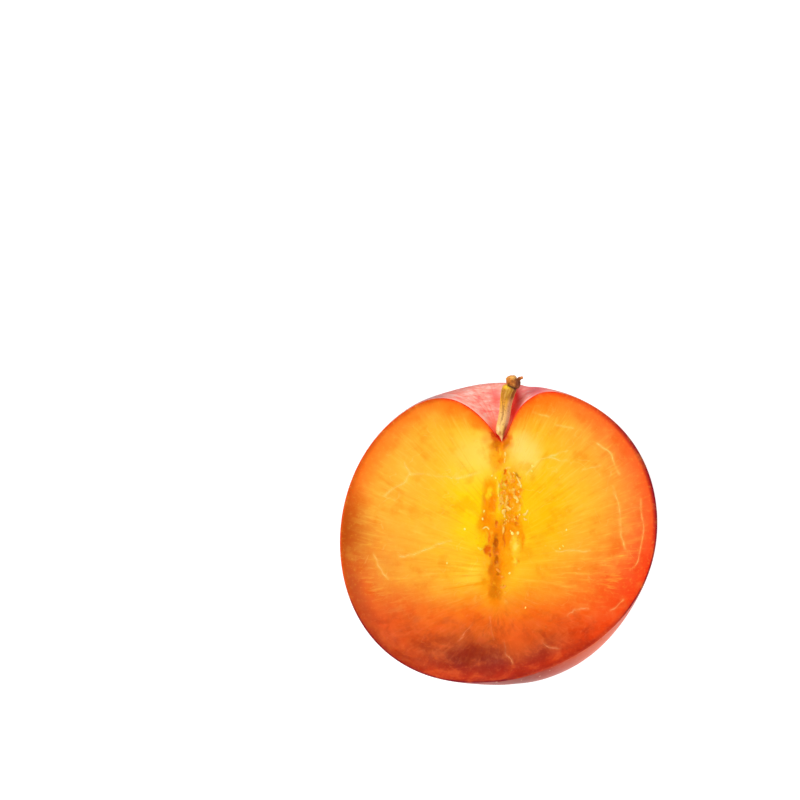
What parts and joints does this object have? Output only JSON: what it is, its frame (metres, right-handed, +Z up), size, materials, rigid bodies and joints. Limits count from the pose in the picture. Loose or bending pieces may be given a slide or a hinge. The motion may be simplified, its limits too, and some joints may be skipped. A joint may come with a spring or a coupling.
{
  "type": "pluot half",
  "caption": "Half of a pluot lying on its rounded back with the cut face up, with flesh, an empty central hollow, skin and a short stem in its cavity.",
  "frame": {"origin": "centre of the small flat spot underneath, straight below the middle of the cut face", "axes": "+Z up out of the cut face, +Y towards the stem, +X to the right of the cut face as seen from above with the stem at the top"},
  "size_m": [0.0604, 0.0608, 0.0308],
  "materials": {
    "flesh": "moist, translucent cut flesh; the rounded outside is smooth plum-red skin",
    "stem": "dry and lightly ridged"
  },
  "bodies": {
    "root": {"fruit_half": "flesh", "stem": "stem"}
  },
  "joints": []
}
